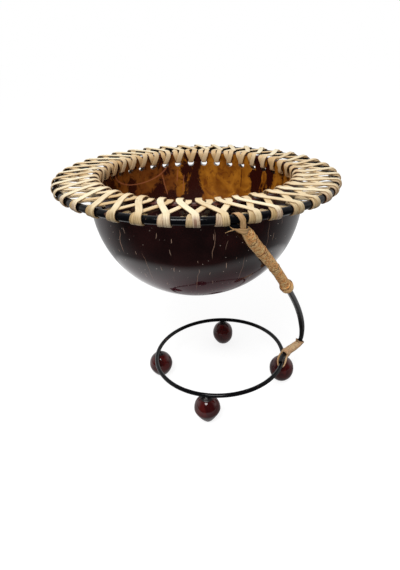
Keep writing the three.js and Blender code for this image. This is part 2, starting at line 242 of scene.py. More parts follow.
world = bpy.data.worlds.new("studio")
bpy.context.scene.world = world
world.use_nodes = True
Wire.tree = world.node_tree
Wire.tree.nodes.clear()
towards = split(Wire.node("ShaderNodeTexCoord", output=0))
overhead = 1 - (1 - CEILING) * rise(towards[2], *CEILING_EDGE)
sweep = CAMERA_SIDE + (1 - CAMERA_SIDE) * rise(towards[1], *SWEEP_EDGE) * overhead
mirrored = is_seen("Is Glossy Ray", "Is Transmission Ray")
shown = is_seen("Is Camera Ray")
plain = (1 - mirrored) * (1 - shown) * FILL + shown + mirrored * (1 - shown) * sweep
sky = Wire.node("ShaderNodeBackground", inputs={"Color": (1, 1, 1, 1), "Strength": plain})
Wire.node("ShaderNodeOutputWorld", inputs={"Surface": sky})
print("world:", len(world.node_tree.nodes), "nodes")

# %% Floor
# In metres: the pool of light, the bowl's shade in it, and the floor beyond, brighter at the back.
FLOOR_REACH = 30
POOL_MIDDLE, POOL_SIZE, POOL_EDGE = 0.05, (0.19, 0.17), (0.7, 1.2)
SHADE_MIDDLE, SHADE, SHADE_EDGE = 0.04, 0.28, (0.05, 0.14)
FAR_FRONT, FAR_GAIN, FAR_EDGE = 0.05, 0.5, (-0.15, 0.15)

floor_finish = new_finish("pale_floor")
right_floor, back_floor, _ = split(Wire.node("ShaderNodeTexCoord", output=3))
mirrored = is_seen("Is Glossy Ray", "Is Transmission Ray")
pool_right, pool_back = right_floor / POOL_SIZE[0], (back_floor - POOL_MIDDLE) / POOL_SIZE[1]
pool = 1 - rise(pool_right * pool_right + pool_back * pool_back, *POOL_EDGE)
shade_right = right_floor - SHADE_MIDDLE
from_shade = (shade_right * shade_right + back_floor * back_floor) ** 0.5
shade = SHADE + (1 - SHADE) * rise(from_shade, *SHADE_EDGE)
far_floor = FAR_FRONT + FAR_GAIN * rise(back_floor, *FAR_EDGE)
glow_seen = mirrored * (pool * shade).maths("MAXIMUM", far_floor)
lit = glow_seen + (1 - mirrored) * is_seen("Is Camera Ray") * (1 - SHADOW_SHARE * FILL)
matt = Wire.node("ShaderNodeBsdfDiffuse", inputs={"Color": (1 - mirrored) * SHADOW_SHARE})
glow = Wire.node("ShaderNodeEmission", inputs={"Color": (1, 1, 1, 1), "Strength": lit})
both = Wire.node("ShaderNodeAddShader", inputs={0: matt, 1: glow})
Wire.node("ShaderNodeOutputMaterial", inputs={"Surface": both})

floor_mesh = bpy.data.meshes.new("floor")
corners = [(x * FLOOR_REACH, y * FLOOR_REACH, 0) for x, y in ((-1, -1), (1, -1), (1, 1), (-1, 1))]
floor_mesh.from_pydata(corners, [], [(0, 1, 2, 3)])
floor_mesh.materials.append(floor_finish)
floor = add_object("floor", floor_mesh)
print("floor:", 2 * FLOOR_REACH, "m across")


# %% Lamp
def soft_box(name, place, aim, size, watts):
    """Square lamp at a place, facing another."""
    lamp = bpy.data.lights.new(name, "AREA")
    lamp.shape = "RECTANGLE"
    lamp.size, lamp.size_y = size
    lamp.energy = watts
    holder = add_object(name, lamp)
    holder.location = place
    holder.rotation_euler = (Vector(aim) - Vector(place)).to_track_quat("-Z", "Y").to_euler()
    print(name, watts, "W")


soft_box("top_box", place=(-0.12, -0.56, 0.86), aim=(0, 0, 0.1), size=(0.42, 0.3), watts=5.8)

# %% [markdown]
# ## Finish of the shell
# Coconut shell is sanded and lacquered. Outside it is almost black, with short pale fibres that run
# from the rim to the pole. Inside it is amber with dark clouds and thin veins. Two materials would
# need the faces sorted, but a point's place tells whether it lies inside the middle of the wall, so
# one does both. The pattern is written in the bowl's own frame, which leans a little.

# %% Marks on the shell
# Sizes from here on are in mm. A fullness of 2 is a sphere, and more is squarer.
BRIM_HEIGHT, BRIM_LEAN = 158.5, math.radians(2.7)
SHELL_RADIUS, SHELL_DEPTH, SHELL_WALL, SHELL_FULLNESS = 66, 64.5, 4.2, 2.08
RIM_TOP, SHELL_RISE = 1.9, 12.5
SHELL_MIDDLE = RIM_TOP - SHELL_RISE
# How soft the marks are: an edge says from where to where a mark fades out.
DASH_EDGE, DASH_LEAST, CHANCE_SOFT = (0.5, 1.1), 0.35, 0.02
BAND_EDGE, LINE_EDGE = (0.75, 1.25), (0.12, 0.5)


def dashes(around, height, cell, half_size, keep):
    """Short marks scattered over a surface, a cell apart, each twice its half_size, in mm."""
    here = join(around / cell[0], height / cell[1], 0)
    cells = {"voronoi_dimensions": "2D"}, {"Vector": here, "Scale": 1}
    centre = Wire.node("ShaderNodeTexVoronoi", *cells, output=2)
    chance, length_share, brightness = split(Wire.node("ShaderNodeTexVoronoi", *cells, output=1))
    gap = Wire.node("ShaderNodeVectorMath", {"operation": "SUBTRACT"}, {0: here, 1: centre})
    across, along, _ = split(gap)
    across = across * (cell[0] / half_size[0])
    along = along * (cell[1] / half_size[1]) / (DASH_LEAST + length_share)
    mark = 1 - rise(across * across + along * along, *DASH_EDGE)
    kept = 1 - rise(chance, keep - CHANCE_SOFT, keep + CHANCE_SOFT)
    return mark * kept * (DASH_LEAST + (1 - DASH_LEAST) * brightness)


def band(angle, centre, half_width):
    """1 near an angle in degrees, 0 away from it."""
    off = (angle - centre).maths("ABSOLUTE")
    return 1 - rise(off, half_width * BAND_EDGE[0], half_width * BAND_EDGE[1])


def upright_line(angle, height, place, slope, low, high):
    """Thin line up the wall: place is its angle in degrees at the height low."""
    off = (angle - place - (height - low) * slope).maths("ABSOLUTE")
    ends = rise(height, low - 1, low + 1) * (1 - rise(height, high - 1, high + 1))
    return (1 - rise(off, *LINE_EDGE)) * ends


print("shell:", 2 * SHELL_RADIUS, "mm across and", SHELL_RISE + SHELL_DEPTH, "mm deep")

# %% Shell colours outside
# Fibres: their shift round and up, their spacing and half size in mm, the share kept, and a colour.
FIBRES = [((0, 0), (15, 27), (0.26, 9), 0.5, (190, 150, 128)),
          ((31, 0), (7.5, 10), (0.26, 2.2), 0.34, (196, 164, 144)),
          ((57, 7), (4.6, 6.1), (0.3, 0.36), 0.34, (205, 190, 178))]


def outer_colour(spot, x, y, z, height, cloud):
    """Nearly black, with pale fibres, and a painted purplish sheen of the floor's reflection towards the
    pole.
    """
    drift = mottle(spot, 0.09, 1)
    around = (x * -1).maths("ARCTAN2", y * -1) * SHELL_RADIUS + drift * 5
    outer = blend(rise(cloud, 0.35, 0.7), srgb(28, 9, 9), srgb(46, 18, 18))
    # Painted reflection: towards the pole the shell turns purplish red, standing in for the floor's sheen.
    outer = blend((1 - rise(z, -60, -34)) * 0.8, outer, srgb(96, 28, 46))
    for (shift, lift), cell, half_size, keep, colour in FIBRES:
        marks = dashes(around + shift, height + lift, cell, half_size, keep)
        outer = blend(marks * 0.8, outer, srgb(*colour))
    return outer


print("layers of fibres:", len(FIBRES))

# %% Shell colours inside
# Bands: their middle and half width in degrees, and how much they lean.
DARK_BANDS = [(94, 7.5, 0), (46, 4.6, 0), (35, 4, 0.2)]
BRIGHT_BANDS = [(71, 17, 0), (39, 2.2, 0)]
LEFT_SIDE = (100, 108)
# Veins: an angle, a slope, and the lowest and highest point. There is also one ring, and a streak.
VEINS = [(112.7, 0.18, -27.4, -12.4), (104.8, -0.12, -18.7, -9.8), (100.9, -0.11, -26.4, -14.6)]
RING_MIDDLE, RING_HALF, RING_TOP = (133, -4), (22, 12.5), (-7.5, -5.5)
STREAK = (58.2, 0, -22, -9)


def inner_colour(spot, x, y, z, height, cloud):
    """Amber, with dark clouds that gather in bands, thin veins and a streak."""
    warm = mottle(spot, 0.09, 5, 0.8)
    angle = y.maths("ARCTAN2", x) * (180 / math.pi)
    bent = angle + (cloud - 0.5) * 14
    dark = sum(band(bent + height * lean, *place) for *place, lean in DARK_BANDS)
    bright = sum(band(bent + height * lean, *place) for *place, lean in BRIGHT_BANDS)
    patches = mottle(join(x * 0.075, y * 0.075, z * 0.045), 1, 4, 0.9) + (dark - bright) * 0.15
    patches = patches + 0.35 * (mottle(spot, 0.22, 5, 1) - 0.5) + rise(angle, *LEFT_SIDE) * 0.03
    amber = blend(rise(warm, 0.3, 0.72), srgb(124, 68, 12), srgb(184, 118, 34))
    amber = blend(rise(angle, *LEFT_SIDE) * 0.75, amber, srgb(104, 54, 24))
    inner = blend(rise(mottle(spot, 0.16, 4, 1.2), 0.54, 0.62) * 0.6, amber, srgb(104, 50, 14))
    inner = blend(rise(patches, 0.47, 0.59), inner, srgb(48, 14, 9))
    ring_x, ring_z = (angle - RING_MIDDLE[0]) / RING_HALF[0], (z - RING_MIDDLE[1]) / RING_HALF[1]
    ring_gap = ((ring_x * ring_x + ring_z * ring_z) ** 0.5 - 1).maths("ABSOLUTE") * RING_HALF[1]
    veins = (1 - rise(ring_gap, 0.15, 0.6)) * (1 - rise(z, *RING_TOP))
    for vein in VEINS:
        veins = veins.maths("MAXIMUM", upright_line(angle, z, *vein))
    inner = blend(veins * 0.7, inner, srgb(168, 100, 66))
    return blend(upright_line(angle, z, *STREAK) * 0.8, inner, srgb(70, 26, 10))


print("bands:", len(DARK_BANDS + BRIGHT_BANDS), "veins:", len(VEINS))


# %% Shell finish
def shell_finish():
    material = new_finish("lacquered_coconut")
    spot = place_in_mm((0, 0, BRIM_HEIGHT * MM), BRIM_LEAN)
    x, y, z = split(spot)
    height = z - SHELL_MIDDLE
    radial = (x * x + y * y) ** 0.5
    middle, low_reach = SHELL_RADIUS - SHELL_WALL / 2, SHELL_DEPTH - SHELL_WALL / 2
    up_share = height.maths("ABSOLUTE") / low_reach
    fullness = (radial / middle) ** SHELL_FULLNESS + up_share ** SHELL_FULLNESS
    outside = rise(fullness, 0.99, 1.01)
    cloud = mottle(spot, 0.05, 4, 0.4)
    outer = outer_colour(spot, x, y, z, height, cloud)
    inner = inner_colour(spot, x, y, z, height, cloud)
    cut = rise(z, RIM_TOP - 0.9, RIM_TOP - 0.5)
    colour = blend(outside, inner, outer)
    colour = blend(cut, colour, srgb(84, 40, 30))
    rough = 0.05 + 0.07 * mottle(spot, 0.3, 3) + 0.3 * cut + (1 - outside) * 0.1
    waves = relief(mottle(spot, 0.055, 1), 0.5, 0.4)
    surface(Base_Color=colour, Roughness=rough, IOR=1.48, Normal=waves)
    return material


shell_material = shell_finish()
print("finish:", shell_material.name)

# %% [markdown]
# ## Finish of the strips
# Rattan strip is the pale skin of a climbing palm: straw coloured, satin, with fine straight grain and
# a few brown stains, most of them where it turns round the hoop. There its lower outer side also gets
# painted shade, as do the strip's rounded edges, and inside the rim it gets painted warm shade. Grain
# has to follow the strip through every bend, so it isn't read from the place in space. The mesh
# carries three values of its own: how far along the strip a point is, how far across, and a tone that
# changes from run to run.

# %% Strip finish
# Squared radii and heights in mm: inside the rim the strip gets painted warm shade, and on the turn's lower
# outer side stains and painted shade.
SHADE_INSIDE_RIM, TURN_SIDE, TURN_TOP = (61.0 ** 2, 64.5 ** 2), (80.0 ** 2, 84.0 ** 2), (1.5, 4.5)


def strip_finish(name, pale, golden, stain_and_edge_shade, gloss):
    material = new_finish(name)
    along, across, tone = carried("along"), carried("across"), carried("tone")
    spot = place_in_mm((0, 0, BRIM_HEIGHT * MM), BRIM_LEAN)
    grain = mottle(join(along * 0.05, across * 5, tone * 9), 1.6, 3)
    fine = mottle(join(along * 0.02, across * 16, tone * 5), 1, 2)
    cloud = mottle(join(along * 0.12, across * 0.8, tone * 4), 1, 2)
    colour = blend(rise(grain * 0.5 + cloud * 0.3 + tone * 0.35, 0.3, 0.75), golden, pale)
    colour = blend(rise(fine, 0.55, 0.8) * 0.3, colour, stain_and_edge_shade)
    spots = rise(mottle(join(along * 0.2, across * 0.7, tone * 7), 1, 4), 0.64, 0.74)
    colour = blend(spots * 0.4, colour, stain_and_edge_shade)
    x, y, z = split(spot)
    from_axis = x * x + y * y
    # Painted shade: inside the rim the strip is made darker and more golden.
    colour = blend((1 - rise(from_axis, *SHADE_INSIDE_RIM)) * 0.5, colour, srgb(196, 150, 90))
    # Stains and painted shade: the turn's lower outer side is darker, olive to brown by its tone.
    turn = (1 - rise(z, *TURN_TOP)) * rise(from_axis, *TURN_SIDE) * (0.4 + 0.6 * rise(grain, 0.42, 0.6))
    olive_or_brown = blend(rise(tone, 0.5, 0.8), srgb(138, 110, 64), srgb(124, 80, 58))
    colour = blend(turn * 0.9, colour, olive_or_brown)
    # Painted shade: both edges of the strip are darkened with the stain colour, as on a rounded section.
    edge = rise(across.maths("ABSOLUTE"), 0.7, 1.0) * 0.5
    colour = blend(edge, colour, stain_and_edge_shade)
    rough = 0.42 + 0.25 * grain
    surface(Base_Color=colour, Roughness=rough, IOR=1.45, Coat_Weight=gloss, Coat_Roughness=0.3,
            Normal=relief(fine + 0.5 * grain, 0.06, 0.6))
    return material


under_material, over_material, strap_material, split_material = [
    strip_finish(name, srgb(*pale), srgb(*golden), srgb(*stain_and_edge_shade), gloss)
    for name, pale, golden, stain_and_edge_shade, gloss in (
        # Painted shade: the first pass, lying under the second, is a little darker than the same strip on
        # top.
        ("rattan_under", (242, 222, 182), (212, 178, 124), (136, 92, 58), 0.1),
        ("rattan_over", (248, 234, 198), (222, 192, 142), (150, 106, 66), 0.15),
        ("bark_strap", (222, 180, 134), (188, 138, 94), (112, 66, 40), 0.05),
        # Split bark is paler, and is painted lighter still to stand in for the light it lacks under the bowl.
        ("split_bark", (240, 206, 158), (216, 170, 116), (146, 94, 54), 0.05))]
print("finishes:", under_material.name, over_material.name, strap_material.name, split_material.name)

# %% [markdown]
# ## Finish of the bark
# The bindings are tan bark, matt, mottled and flecked with brown, and paler at the foot. The mottling
# is taken from the place in space, which is simple and has no seam where a binding closes on itself.
# The mesh itself says where a band's edge lies: above 0 in the gap under it and in the bore, which get
# painted shade, below 0 on its rim, which is painted paler.

# %% Bark finish
FOOT_TOP = (30, 45)


def bark_finish():
    material = new_finish("tan_bark")
    spot = place_in_mm()
    broad = mottle(spot, 0.35, 3, 0.6)
    small = mottle(spot, 1.1, 4, 0.4)
    fleck = rise(mottle(spot, 0.75, 3, 0.8), 0.54, 0.64)
    colour = blend(rise(broad, 0.35, 0.65), srgb(255, 180, 104), srgb(255, 218, 152))
    colour = blend(rise(small, 0.5, 0.62) * 0.75, colour, srgb(172, 102, 50))
    colour = blend(fleck * 0.75, colour, srgb(128, 62, 26))
    colour = blend((1 - rise(split(spot)[2], *FOOT_TOP)) * 0.65, colour, srgb(172, 150, 124))
    seam = carried("seam")
    # Painted shade above 0, in the gap under a band's edge and in the bore; below 0 a band's rim and ridge
    # are made paler.
    colour = blend(rise(seam * -1, 0, 1) * 0.6, colour, srgb(240, 208, 160))
    colour = blend(rise(seam, 0, 1) * 0.85, colour, srgb(70, 36, 20))
    surface(Base_Color=colour, Roughness=0.6 + 0.25 * small, IOR=1.4,
            Normal=relief(small + broad, 0.25, 0.7))
    return material


bark_material = bark_finish()
print("finish:", bark_material.name)

# %% [markdown]
# ## Finish of the iron, the seeds and the glue
# The iron is painted glossy black, with small dents that break its reflections and brown rubs where
# the hoop has been handled. The seeds are polished red-brown. The glue is black and lumpy. All three
# could be plain colours, but gloss shows every missing dent, so noise in millimetres drives them.

# %% Iron, seed and glue finishes
def iron_finish():
    material = new_finish("black_iron_paint")
    spot = place_in_mm()
    dents = mottle(spot, 0.35, 3, 0.5)
    rub = rise(mottle(spot, 0.2, 5, 0.8), 0.64, 0.7)
    colour = blend(rub * 0.7, srgb(8, 8, 11), srgb(110, 76, 60))
    surface(Base_Color=colour, Roughness=0.07 + 0.1 * dents + 0.25 * rub, IOR=1.45,
            Specular_IOR_Level=0.25, Normal=relief(dents, 0.14, 0.5))
    return material


def seed_finish():
    material = new_finish("polished_seed")
    spot = place_in_mm()
    cloud = mottle(spot, 0.16, 4, 0.8)
    fine = mottle(spot, 0.7, 4, 0.5)
    colour = blend(rise(cloud, 0.35, 0.68), srgb(50, 8, 9), srgb(76, 20, 18))
    colour = blend(rise(fine, 0.5, 0.8) * 0.3, colour, srgb(40, 8, 9))
    surface(Base_Color=colour, Roughness=0.06 + 0.08 * fine, IOR=1.5, Specular_IOR_Level=0.25,
            Coat_Weight=0.3, Coat_Roughness=0.04, Normal=relief(cloud + 0.15 * fine, 0.3, 0.3))
    return material


def glue_finish():
    material = new_finish("black_glue_lumps")
    spot = place_in_mm()
    lumps = mottle(spot, 0.5, 3, 0.4)
    colour = blend(rise(lumps, 0.4, 0.7), srgb(14, 9, 10), srgb(36, 22, 23))
    surface(Base_Color=colour, Roughness=0.3 + 0.15 * lumps, IOR=1.45,
            Normal=relief(lumps, 0.4, 0.5))
    return material


iron_material, seed_material, glue_material = iron_finish(), seed_finish(), glue_finish()
print("finishes:", iron_material.name, seed_material.name, glue_material.name)

# %% [markdown]
# ## Pieces that trees grow
# Most of this object follows a path: hoops, arm, strips, ties. So one Geometry Nodes tree sweeps an
# outline along a line of points. Each point carries the way that the piece faces there and its size,
# which a plain bevelled curve can't hold so exactly. The outline is a circle squeezed into a rounded
# oblong: a low squareness power makes it flat and square, and 1 leaves it round.

# %% Start and end of a tree
def new_tree(name, sockets):
    """Empty tree with one geometry in and out, and named inputs; gives the tree and its inputs."""
    tree = bpy.data.node_groups.new(name, "GeometryNodeTree")
    tree.interface.new_socket("Geometry", in_out="OUTPUT", socket_type="NodeSocketGeometry")
    for label, kind in {"Geometry": "NodeSocketGeometry", **sockets}.items():
        tree.interface.new_socket(label, in_out="INPUT", socket_type=kind)
    Wire.tree = tree
    entry = Wire.node("NodeGroupInput").socket.node
    return tree, {socket.name: Wire(socket) for socket in entry.outputs if socket.name}


def end_tree(geometry, material):
    """Last nodes of every tree: real meshes with their material."""
    real = Wire.node("GeometryNodeRealizeInstances", inputs={"Geometry": geometry})
    coloured = Wire.node("GeometryNodeSetMaterial", inputs={"Geometry": real, "Material": material})
    Wire.node("NodeGroupOutput", inputs={"Geometry": coloured})


print("meshes so far:", len(bpy.data.meshes))


# %% Making a piece
def grow(name, mesh, tree, values):
    """Plain mesh piece that a tree makes from a mesh."""
    piece = add_object(name, mesh)
    modifier = piece.modifiers.new("tree", "NODES")
    modifier.node_group = tree
    inputs = {item.name: item.identifier for item in tree.interface.items_tree if item.in_out == "INPUT"}
    for label, value in values.items():
        modifier[inputs[label]] = value
    graph = bpy.context.evaluated_depsgraph_get()
    made = bpy.data.meshes.new_from_object(
        piece.evaluated_get(graph), preserve_all_data_layers=True, depsgraph=graph)
    piece.modifiers.clear()
    piece.data = made
    made.name = name
    return piece


def mesh_piece(name, points, faces, material, values=None):
    """Smooth mesh piece from points in mm. Values are attributes with a number for each point."""
    mesh = bpy.data.meshes.new(name)
    mesh.from_pydata([point * MM for point in points], [], faces)
    for label, numbers in (values or {}).items():
        mesh.attributes.new(label, "FLOAT", "POINT").data.foreach_set("value", numbers)
    mesh.materials.append(material)
    mesh.shade_smooth()
    return add_object(name, mesh)


def on_root(piece, slot, *nodes):
    """Let a piece ride on the body and stand for CAD nodes. The slot is not used."""
    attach(piece, "root")
    if nodes:
        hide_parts(*nodes)
    print(piece.name, len(piece.data.polygons), "faces")
    return piece


# %% The sweep
NUMBER, WHOLE, MATERIAL = "NodeSocketFloat", "NodeSocketInt", "NodeSocketMaterial"
sweep_tree, given = new_tree("sweep_outline", {
    "Width": NUMBER, "Thickness": NUMBER, "Squareness": NUMBER, "Sides": WHOLE, "Material": MATERIAL})
face = Wire.node("GeometryNodeInputNamedAttribute", {"data_type": "FLOAT_VECTOR"}, {"Name": "face"})
size = Wire.node("GeometryNodeInputNamedAttribute", {"data_type": "FLOAT"}, {"Name": "size"})
line = Wire.node("GeometryNodeMeshToCurve", inputs={0: given["Geometry"]})
line = Wire.node("GeometryNodeSetCurveNormal", {"mode": "FREE"}, {"Curve": line, "Normal": face})
ring = Wire.node("GeometryNodeCurvePrimitiveCircle", inputs={"Resolution": given["Sides"], "Radius": 1.0})
thick, wide, _ = split(Wire.node("GeometryNodeInputPosition"))


def squeezed(part, extent):
    """One coordinate of the circle, squeezed and brought to its extent."""
    return part.maths("SIGN") * part.maths("ABSOLUTE") ** given["Squareness"] * extent * 0.5


ring = Wire.node("GeometryNodeStoreNamedAttribute", {"data_type": "FLOAT", "domain": "POINT"},
                 {"Geometry": ring, "Name": "across", "Value": wide})
outline_place = join(squeezed(thick, given["Thickness"]), squeezed(wide, given["Width"]), 0.0)
ring = Wire.node("GeometryNodeSetPosition", inputs={"Geometry": ring, "Position": outline_place})
skin = Wire.node("GeometryNodeCurveToMesh",
                 inputs={"Curve": line, "Profile Curve": ring, "Scale": size, "Fill Caps": True})
end_tree(Wire.node("GeometryNodeSetShadeSmooth", inputs={"Geometry": skin}), given["Material"])
print("sweep tree:", len(sweep_tree.nodes), "nodes")


# %% Lines for the sweep
def thread(name, points, faces, sizes, closed=False, tone=None):
    """Line through points in mm, with the way it faces and its size at each, for the sweep."""
    mesh = bpy.data.meshes.new(name)
    count = len(points)
    edges = [(i, (i + 1) % count) for i in range(count if closed else count - 1)]
    mesh.from_pydata([point * MM for point in points], edges, [])
    along, total = [0.0], 0.0
    for first, second in zip(points, points[1:]):
        total += (second - first).length
        along.append(total)
    facing = mesh.attributes.new("face", "FLOAT_VECTOR", "POINT")
    facing.data.foreach_set("vector", [part for vector in faces for part in vector])
    for label, values in (("size", sizes), ("along", along), ("tone", tone or [0.5] * count)):
        mesh.attributes.new(label, "FLOAT", "POINT").data.foreach_set("value", values)
    return mesh


def swept(name, points, faces, width, thickness, material, squareness=1.0, sides=24,
          sizes=None, closed=False, tone=None):
    """Piece swept along a line, width across and thickness in the way that it faces, in mm."""
    mesh = thread(name, points, faces, sizes or [1.0] * len(points), closed, tone)
    return grow(name, mesh, sweep_tree, {
        "Width": width * MM, "Thickness": thickness * MM, "Squareness": squareness,
        "Sides": sides, "Material": material})


print("sweep sizes:", ", ".join(item.name for item in sweep_tree.interface.items_tree))

# %% [markdown]
# ## The two hoops
# The bowl hangs in a hoop of black iron bar and stands on a thinner one. A plain torus could make
# each, but real hoops are bent by hand and painted, so the sweep takes a closed line whose bar grows
# and shrinks by a few hundredths.

# %% Hoops
BRIM_RADIUS, BRIM_BAR = 84, 2.1
BASE_RADIUS, BASE_BAR = 47.5, 1.5
BASE_CENTRE = Vector((8.7, 0, 22.2))
HOOP_POINTS, BAR_WAVER = 360, 0.015
brim_frame = Matrix.Translation((0, 0, BRIM_HEIGHT)) @ Matrix.Rotation(BRIM_LEAN, 4, "Y")


def polar(radius, degrees, z=0.0):
    """Point at a radius and an angle."""
    angle = math.radians(degrees)
    return Vector((radius * math.cos(angle), radius * math.sin(angle), z))


def hoop(name, radius, bar, frame_matrix, node):
    angles = range(HOOP_POINTS)
    points = [frame_matrix @ polar(radius, i) for i in angles]
    faces = [frame_matrix.to_3x3() @ polar(1, i) for i in angles]
    sizes = [1 - BAR_WAVER + BAR_WAVER * noise.noise(polar(radius / 9, i)) for i in angles]
    piece = swept(name, points, faces, 2 * bar, 2 * bar, iron_material, sizes=sizes, closed=True)
    return on_root(piece, "black_iron", node)


hoop("brim_hoop_bar", BRIM_RADIUS, BRIM_BAR, brim_frame, "brim_hoop")
hoop("base_hoop_bar", BASE_RADIUS, BASE_BAR, Matrix.Translation(BASE_CENTRE), "base_hoop")

# %% [markdown]
# ## The shell
# A bowl sawn from a nut is round about its axis. A Screw modifier could turn it, but the holes need a
# tree anyway, so the tree also sweeps the half outline round a circle and closes it at the poles. The
# rim's 40 holes are real ones, because light shows through them: a ring of drills is set on points,
# and one boolean takes them all out.

# %% Shell outline
HOLE_COUNT, HOLE_RADIUS, HOLE_Z = 40, 2.25, RIM_TOP - 7.6
RIM_ROUND, RIM_STEPS, RIM_POWERS = 1.0, 8, (0.45, 0.6)


def shell_radius(z, radius):
    """Radius at a height of the wall that is this wide in its middle."""
    height = z - SHELL_MIDDLE
    reach = radius if height > 0 else radius - SHELL_RADIUS + SHELL_DEPTH
    share = min(1, abs(height) / reach)
    return radius * (1 - share ** SHELL_FULLNESS) ** (1 / SHELL_FULLNESS)


def outer_radius(z):
    return shell_radius(z, SHELL_RADIUS)


def inner_radius(z):
    return shell_radius(z, SHELL_RADIUS - SHELL_WALL)


def shell_outline(steps=44):
    """Points of radius and height from the bottom pole, out over the rim, to the inner pole."""
    walls = []
    for radius in (SHELL_RADIUS, SHELL_RADIUS - SHELL_WALL):
        depth = radius - SHELL_RADIUS + SHELL_DEPTH
        end = math.asin((RIM_TOP - RIM_ROUND - SHELL_MIDDLE) / depth)
        angles = [-math.pi / 2 + (end + math.pi / 2) * i / steps for i in range(steps + 1)]
        heights = [SHELL_MIDDLE + depth * math.sin(angle) for angle in angles]
        walls.append([(0 if i == 0 else shell_radius(z, radius), z) for i, z in enumerate(heights)])
    outside, inside = walls
    edge = RIM_TOP - RIM_ROUND
    rim = []
    half = (outer_radius(edge) - inner_radius(edge)) / 2
    for i in range(1, RIM_STEPS):
        angle = math.pi * i / RIM_STEPS
        across = math.copysign(abs(math.cos(angle)) ** RIM_POWERS[0], math.cos(angle))
        rim.append(((outer_radius(edge) + inner_radius(edge)) / 2 + half * across,
                    edge + RIM_ROUND * math.sin(angle) ** RIM_POWERS[1]))
    return outside + rim + inside[::-1]


print("shell outline:", len(shell_outline()), "points")

# %% Shell tree
DRILL_SIDES, MERGE_DISTANCE = 20, 1e-6
shell_tree, given = new_tree("turn_and_drill", {
    "Segments": WHOLE, "Turning Radius": NUMBER, "Holes": WHOLE, "Hole Radius": NUMBER,
    "Hole Height": NUMBER, "Wall Radius": NUMBER, "Drill Length": NUMBER, "Material": MATERIAL})
around = Wire.node("GeometryNodeCurvePrimitiveCircle",
                   inputs={"Resolution": given["Segments"], "Radius": given["Turning Radius"]})
around = Wire.node("GeometryNodeSetCurveNormal", {"mode": "FREE"},
                   {"Curve": around, "Normal": Wire.node("GeometryNodeInputPosition")})
half_outline = Wire.node("GeometryNodeMeshToCurve", inputs={0: given["Geometry"]})
turned = Wire.node("GeometryNodeCurveToMesh", inputs={"Curve": around, "Profile Curve": half_outline})
turned = Wire.node("GeometryNodeMergeByDistance",
                   inputs={"Geometry": turned, "Distance": MERGE_DISTANCE})
hole_ring = Wire.node("GeometryNodeCurvePrimitiveCircle",
                      inputs={"Resolution": given["Holes"], "Radius": given["Wall Radius"]})
half_pitch = Euler((0, 0, math.pi / HOLE_COUNT))
hole_ring = Wire.node("GeometryNodeTransform", inputs={
    "Geometry": hole_ring, "Translation": join(0.0, 0.0, given["Hole Height"]), "Rotation": half_pitch})
drill = Wire.node("GeometryNodeMeshCylinder", inputs={
    "Vertices": DRILL_SIDES, "Radius": given["Hole Radius"], "Depth": given["Drill Length"]})
x, y, _ = split(Wire.node("GeometryNodeInputPosition"))
outwards = Wire.node("FunctionNodeAlignRotationToVector", {"axis": "Z"}, {"Vector": join(x, y, 0.0)})
drills = Wire.node("GeometryNodeInstanceOnPoints", inputs={
    "Points": Wire.node("GeometryNodeCurveToPoints", {"mode": "EVALUATED"}, {"Curve": hole_ring}),
    "Instance": drill, "Rotation": outwards})
drilled = Wire.node("GeometryNodeMeshBoolean", {"operation": "DIFFERENCE", "solver": "EXACT"}, {
    "Mesh 1": turned, "Mesh 2": Wire.node("GeometryNodeRealizeInstances", inputs={"Geometry": drills})})
leaning = Wire.node("GeometryNodeTransform", inputs={
    "Geometry": drilled, "Translation": (0, 0, BRIM_HEIGHT * MM), "Rotation": Euler((0, BRIM_LEAN, 0))})
end_tree(Wire.node("GeometryNodeSetShadeSmooth", inputs={"Geometry": leaning}), given["Material"])
print("shell tree:", len(shell_tree.nodes), "nodes")

# %% Shell piece
SHELL_SEGMENTS, SHARP_ANGLE = 160, 35
outline = bpy.data.meshes.new("shell_outline")
outline_points = [((r - SHELL_RADIUS) * MM, -z * MM, 0) for r, z in shell_outline()]
outline.from_pydata(outline_points, [(i, i + 1) for i in range(len(outline_points) - 1)], [])
shell = grow("coconut_half_shell", outline, shell_tree, {
    "Segments": SHELL_SEGMENTS, "Turning Radius": SHELL_RADIUS * MM, "Holes": HOLE_COUNT,
    "Hole Radius": HOLE_RADIUS * MM, "Hole Height": HOLE_Z * MM,
    "Wall Radius": (SHELL_RADIUS - SHELL_WALL / 2) * MM,
    "Drill Length": 4 * SHELL_WALL * MM, "Material": shell_material})
shell.data.set_sharp_from_angle(angle=math.radians(SHARP_ANGLE))
on_root(shell, "coconut_shell", "coconut_shell")

# %% [markdown]
# ## The lacing
# One strip goes out through a hole, under the brim, round the hoop, back over the top and the rim,
# down inside, and out through the next hole. The second pass goes back the other way over the first,
# so the runs cross on top and the turns pair up on the hoop. Instances of one loop would all be the
# same, so the path is worked out for every loop, each a little different, and then swept.

# %% One loop of lacing
# TOUCH is the strip's middle above what it lies on, LAYER the second pass above the first, and
# HOLE_PLACES how high each pass lies in its hole. Swing, offset and drift are in degrees round the
# bowl. Two turns are shifted to make room for the arm's strap, given as (second pass, loop).
STRIP_WIDTH, STRIP_THICK, TOUCH, LAYER = 3.45, 0.65, 0.6, 0.75
PITCH, LOOPS = 360 / HOLE_COUNT, HOLE_COUNT // 2
HOLE_PLACES = (1.5, 0.8)
RIM_SWING, RIM_EASE = 2.1, 0.35
TURN_RADIUS = BRIM_BAR + 0.45
TURN_OFFSET, TURN_DRIFT = math.degrees(1.68 / BRIM_RADIUS), 0.5
TURN_START, TURN_END, TURN_STEP = -110, 90, 20
SHIFTED_TURNS = {(False, 32): 1.2, (True, 8): -1.2}


